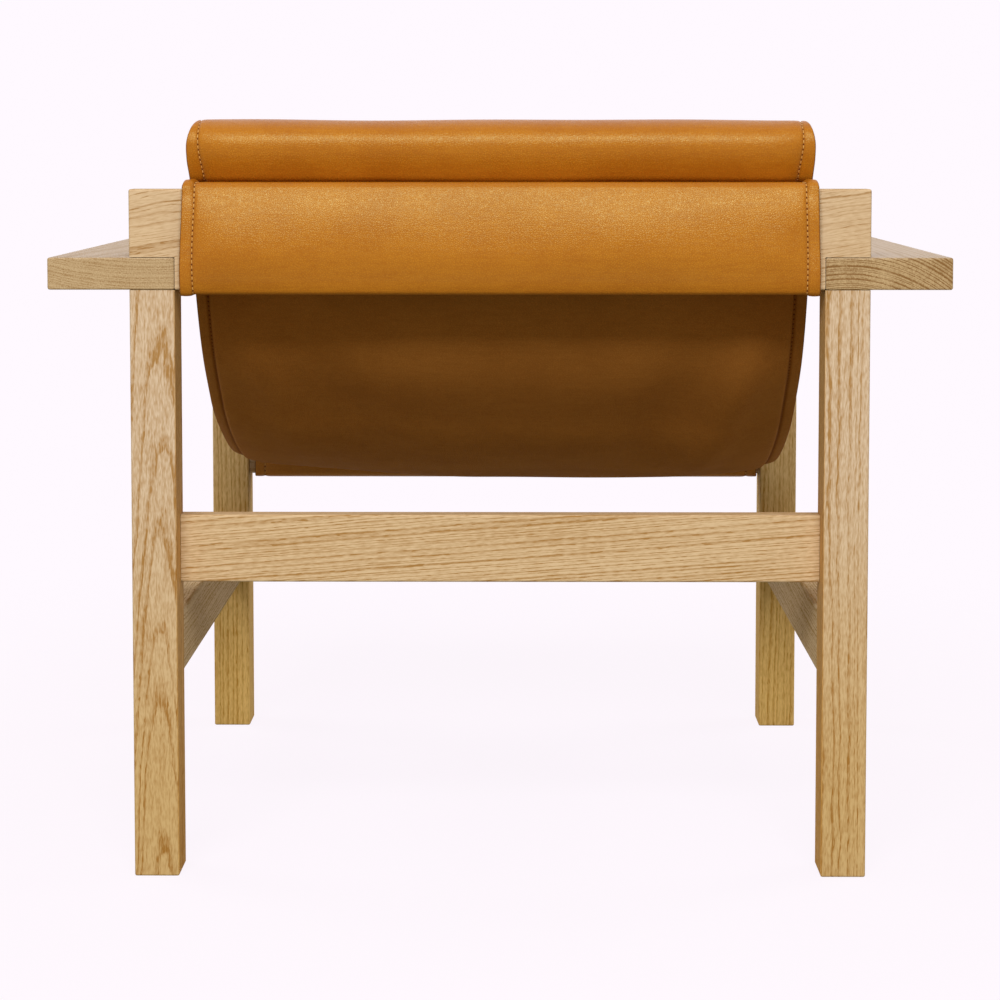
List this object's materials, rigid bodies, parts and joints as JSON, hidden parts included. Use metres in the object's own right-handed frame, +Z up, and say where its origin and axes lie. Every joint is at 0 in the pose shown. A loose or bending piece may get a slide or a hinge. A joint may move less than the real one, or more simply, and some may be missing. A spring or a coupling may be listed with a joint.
{
  "type": "sling lounge chair",
  "caption": "Low lounge chair with a pale wood frame, broad flat arms and a stitched leather sling that forms the seat, the back and a head bolster.",
  "frame": {"origin": "on the floor under the middle of the chair", "axes": "+X to the left of someone who sits in it, +Y to the rear, +Z up"},
  "size_m": [0.8, 0.706, 0.677],
  "materials": {
    "ash": "clear matt oil on light ash with visible grain",
    "dowel_beech": "plain turned beech, glued in",
    "face_leather": "caramel full-grain leather with a soft shine",
    "lining_leather": "caramel leather with a duller face",
    "interliner_cloth": "plain woven interliner",
    "bolster_foam": "cut foam"
  },
  "bodies": {
    "root": {"rear_left_leg": "ash", "rear_right_leg": "ash", "front_left_leg": "ash", "front_right_leg": "ash", "left_arm": "ash", "right_arm": "ash", "rear_rail": "ash", "front_rail": "ash", "rear_stretcher": "ash", "left_side_stretcher": "ash", "right_side_stretcher": "ash", "rear_left_dowel_1": "dowel_beech", "rear_left_dowel_2": "dowel_beech", "rear_right_dowel_1": "dowel_beech", "rear_right_dowel_2": "dowel_beech", "front_left_dowel_1": "dowel_beech", "front_left_dowel_2": "dowel_beech", "front_right_dowel_1": "dowel_beech", "front_right_dowel_2": "dowel_beech", "sling_face_leather": "face_leather", "sling_lining_leather": "lining_leather", "sling_interliner": "interliner_cloth", "bolster_foam": "bolster_foam"}
  },
  "joints": []
}
